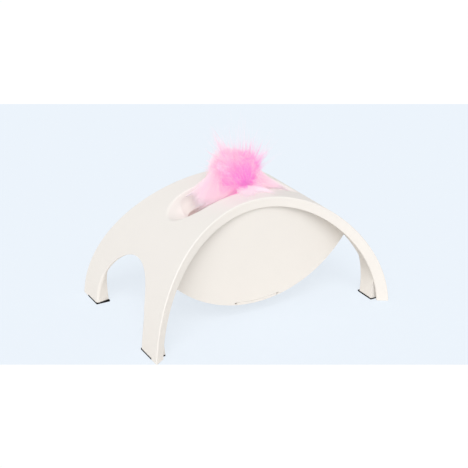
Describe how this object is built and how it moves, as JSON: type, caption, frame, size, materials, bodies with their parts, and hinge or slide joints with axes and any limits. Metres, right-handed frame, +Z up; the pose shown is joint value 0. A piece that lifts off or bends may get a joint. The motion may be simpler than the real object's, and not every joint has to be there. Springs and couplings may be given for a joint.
{
  "type": "arch feather teaser",
  "caption": "Free-standing white arch toy on splayed legs; a battery gear motor swings a pink feather wand along a slot on its crown.",
  "frame": {"origin": "on the floor at the middle of the four feet", "axes": "+X along the arch, +Y towards the rear wall with the switch, +Z up"},
  "size_m": [0.3, 0.1984, 0.2125],
  "materials": {
    "white_plastic": "smooth moulded, soft sheen",
    "black_rubber": "matt rubber",
    "zinc_steel": "zinc-plated steel",
    "brass": "turned brass",
    "cell_wrap": "plain printed sleeve",
    "grey_plastic": "moulded matt",
    "nickel": "nickel-plated spring steel",
    "gear_nylon": "natural nylon",
    "black_plastic": "moulded matt",
    "board_green": "solder mask",
    "wand_white": "flexible plastic rod",
    "pink_plastic": "moulded gloss",
    "pink_feather": "dyed down feather",
    "red_insulation": "soft insulation",
    "black_insulation": "soft insulation"
  },
  "bodies": {
    "housing": {"arch_shell": "white_plastic", "battery_box": "grey_plastic", "battery_cell_front": "cell_wrap", "battery_cell_middle": "cell_wrap", "battery_cell_rear": "cell_wrap", "battery_lead_black": "black_insulation", "battery_lead_red": "red_insulation", "belly_housing": "white_plastic", "board_screws": "zinc_steel", "bracket_screws": "zinc_steel", "capacitor": "black_plastic", "circuit_board": "board_green", "contact_plates": "nickel", "contact_springs": "nickel", "control_chip": "black_plastic", "first_gear_pin": "zinc_steel", "foot_pad_front_left": "black_rubber", "foot_pad_front_right": "black_rubber", "foot_pad_rear_left": "black_rubber", "foot_pad_rear_right": "black_rubber", "front_bush": "brass", "gearbox_case": "grey_plastic", "gearbox_cover": "grey_plastic", "gearbox_mount_screws": "zinc_steel", "gearbox_screws": "zinc_steel", "housing_screws": "zinc_steel", "lead_socket": "gear_nylon", "middle_bush": "brass", "motor_can": "zinc_steel", "motor_drivers": "black_plastic", "motor_end_cap": "black_plastic", "motor_lead_black": "black_insulation", "motor_lead_red": "red_insulation", "motor_screws": "zinc_steel", "motor_terminals": "brass", "rear_bush": "brass", "second_gear_pin": "zinc_steel", "shaft_bracket": "grey_plastic", "switch_body": "black_plastic", "switch_lead_black": "black_insulation", "switch_lead_red": "red_insulation", "trough_floor": "white_plastic", "trough_screws": "zinc_steel"},
    "wand": {"wand_shaft": "zinc_steel", "shaft_clips": "zinc_steel", "output_gear": "gear_nylon", "wand_arm": "grey_plastic", "set_screw": "zinc_steel", "wand_rod": "wand_white", "feather_ferrule": "pink_plastic", "feather_tuft": "pink_feather"},
    "second_reduction": {"second_gear": "gear_nylon"},
    "first_reduction": {"first_gear": "gear_nylon"},
    "motor_rotor": {"motor_shaft": "zinc_steel", "motor_pinion": "brass"},
    "door": {"battery_door": "white_plastic"},
    "power_knob": {"switch_knob": "black_plastic"}
  },
  "joints": [
    {"name": "wand_swing", "type": "hinge", "parent": "housing", "child": "wand", "pos_m": [0, 0, 0.05485], "axis": [0, 1, 0], "range_deg": [-45.5, 34.5]},
    {"name": "second_gear_turn", "type": "hinge", "parent": "housing", "child": "second_reduction", "pos_m": [0.01668, 0, 0.06263], "axis": [0, 1, 0], "range_deg": [-124.2, 163.8]},
    {"name": "first_gear_turn", "type": "hinge", "parent": "housing", "child": "first_reduction", "pos_m": [0.03508, 0, 0.06263], "axis": [0, 1, 0], "range_deg": [-589.7, 447.2]},
    {"name": "motor_turn", "type": "hinge", "parent": "housing", "child": "motor_rotor", "pos_m": [0.05348, 0, 0.06263], "axis": [0, 1, 0], "range_deg": [-1609.7, 2122.9]},
    {"name": "battery_door_slide", "type": "slide", "parent": "housing", "child": "door", "axis": [0, -1, 0], "range_m": [0, 0.082]},
    {"name": "power_switch_slide", "type": "slide", "parent": "housing", "child": "power_knob", "axis": [1, 0, 0], "range_m": [0, 0.004]}
  ],
  "couplings": [
    {"joint": "second_gear_turn", "follows": "wand_swing", "ratio": -3.6},
    {"joint": "first_gear_turn", "follows": "wand_swing", "ratio": 12.96},
    {"joint": "motor_turn", "follows": "wand_swing", "ratio": -46.656}
  ]
}
